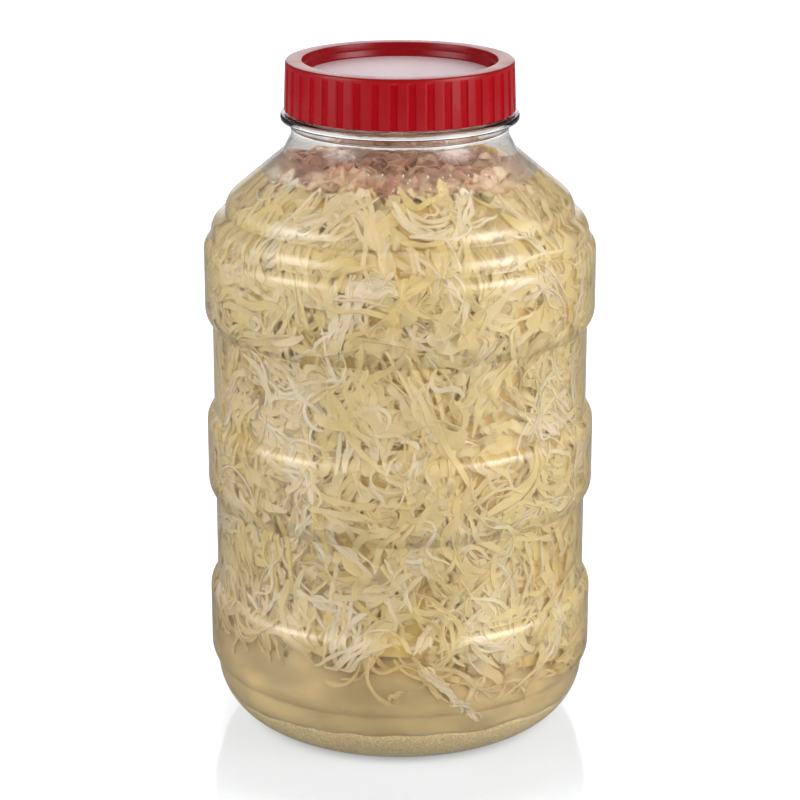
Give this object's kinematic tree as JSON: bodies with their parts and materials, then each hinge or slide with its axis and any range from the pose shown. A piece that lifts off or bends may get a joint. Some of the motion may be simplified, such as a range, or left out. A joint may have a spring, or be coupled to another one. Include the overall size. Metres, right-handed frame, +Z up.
{
  "type": "jar of sauerkraut",
  "caption": "Large clear screw-cap jar with a stepped shoulder and raised bands, filled with pickled cabbage shreds over a layer of cloudy brine.",
  "frame": {"origin": "centre of the jar's flat base, on the surface that it stands on", "axes": "+Z up along the jar's axis, towards the cap; -Y towards the side that the picture shows; +X to the right of that side"},
  "size_m": [0.1706, 0.1706, 0.2966],
  "materials": {
    "jar": "clear, glossy",
    "lid": "glossy moulded red",
    "sauerkraut": null,
    "brine": null,
    "sediment": null
  },
  "bodies": {
    "root": {"jar": "jar", "lid": "lid", "sauerkraut": "sauerkraut", "brine": "brine", "sediment": "sediment"}
  },
  "joints": []
}
